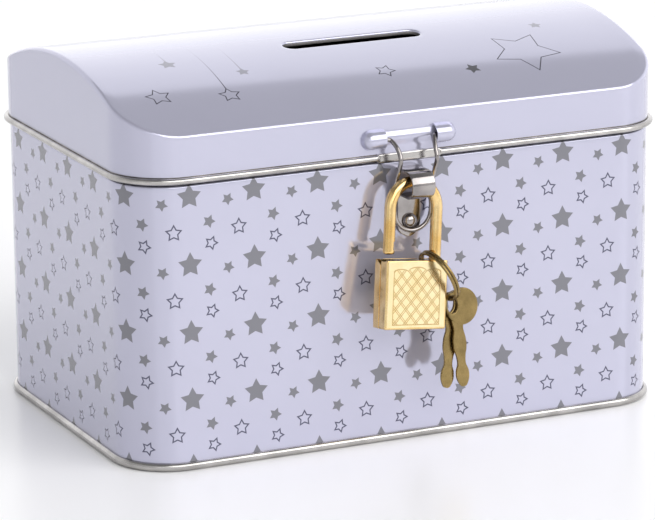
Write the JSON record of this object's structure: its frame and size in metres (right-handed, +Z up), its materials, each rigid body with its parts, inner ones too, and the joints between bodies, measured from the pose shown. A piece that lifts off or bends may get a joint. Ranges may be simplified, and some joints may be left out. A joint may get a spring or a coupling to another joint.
{
  "type": "tin money box",
  "caption": "Printed tinplate chest with a vaulted hinged lid, coin slot, wire hasp, riveted staple, and an open padlock with key ring and keys.",
  "frame": {"origin": "centre of the whole assembly's outline on the table, in the plane that the base seam stands on", "axes": "+Z up; -Y is the front, with the hasp and padlock; +X is to the right seen from the front, along the length and the hinge"},
  "size_m": [0.1328, 0.0994, 0.0855],
  "materials": {
    "printed_enamel": "gloss",
    "bright_tinplate": "bright tinplate",
    "nickel_wire": "nickel plated, bright",
    "nickel_strip": "nickel plated, bright",
    "gilt_brass": "gilt, satin to bright",
    "spring_steel": "bright wire"
  },
  "bodies": {
    "box": {"body_wall": "printed_enamel", "base_plate": "bright_tinplate", "hinge_strap_left": "bright_tinplate", "hinge_strap_right": "bright_tinplate", "hinge_pin": "nickel_wire", "staple": "nickel_strip", "staple_rivet": "nickel_strip"},
    "lid": {"lid_shell": "printed_enamel"},
    "hasp": {"hasp_wire": "nickel_wire"},
    "shackle": {"shackle": "gilt_brass"},
    "shackle_spring": {"shackle_spring": "spring_steel"},
    "lock": {"lock_core": "gilt_brass", "lock_front_cover": "gilt_brass", "lock_back_cover": "gilt_brass", "shackle_stop_pin": "spring_steel", "latch_spring": "spring_steel"},
    "latch": {"latch": "spring_steel"},
    "key_ring": {"key_ring": "gilt_brass"},
    "key_front": {"key_front": "gilt_brass"},
    "key_back": {"key_back": "gilt_brass"}
  },
  "joints": [
    {"name": "lid_hinge", "type": "hinge", "parent": "box", "child": "lid", "pos_m": [0, 0.04834, 0.0645], "axis": [-1, 0, 0], "range_deg": [0, 110]},
    {"name": "hasp_swing", "type": "hinge", "parent": "lid", "child": "hasp", "pos_m": [0, -0.03786, 0.0688], "axis": [-1, 0, 0], "range_deg": [0, 1]},
    {"name": "padlock_swing", "type": "hinge", "parent": "box", "child": "shackle", "pos_m": [-0.00035, -0.04059, 0.05951], "axis": [-1, 0, 0], "range_deg": [0, 60]},
    {"name": "shackle_slide", "type": "slide", "parent": "shackle", "child": "shackle_spring", "axis": [0.1114, 0.1306, 0.9851], "range_m": [0, 0.0047], "stiffness_N_per_m": 120, "springref_m": -0.004, "deforming": ["shackle_spring"]},
    {"name": "shackle_turn", "type": "hinge", "parent": "shackle_spring", "child": "lock", "pos_m": [0.00313, -0.04296, 0.03827], "axis": [0.1114, 0.1306, 0.9851], "range_deg": [0, 35]},
    {"name": "latch_slide", "type": "slide", "parent": "lock", "child": "latch", "axis": [-0.9909, -0.0606, 0.1201], "range_m": [0, 0.0008]},
    {"name": "ring_swing", "type": "hinge", "parent": "lock", "child": "key_ring", "pos_m": [0.00131, -0.04244, 0.04358], "axis": [0.0754, -0.9896, 0.1227], "range_deg": [0, 25]},
    {"name": "key_front_swing", "type": "hinge", "parent": "key_ring", "child": "key_front", "pos_m": [0.00686, -0.04334, 0.03298], "axis": [0.0754, -0.9896, 0.1227], "range_deg": [-6, 15]},
    {"name": "key_back_swing", "type": "hinge", "parent": "key_ring", "child": "key_back", "pos_m": [0.00686, -0.04334, 0.03298], "axis": [0.0754, -0.9896, 0.1227], "range_deg": [0, 12]}
  ]
}
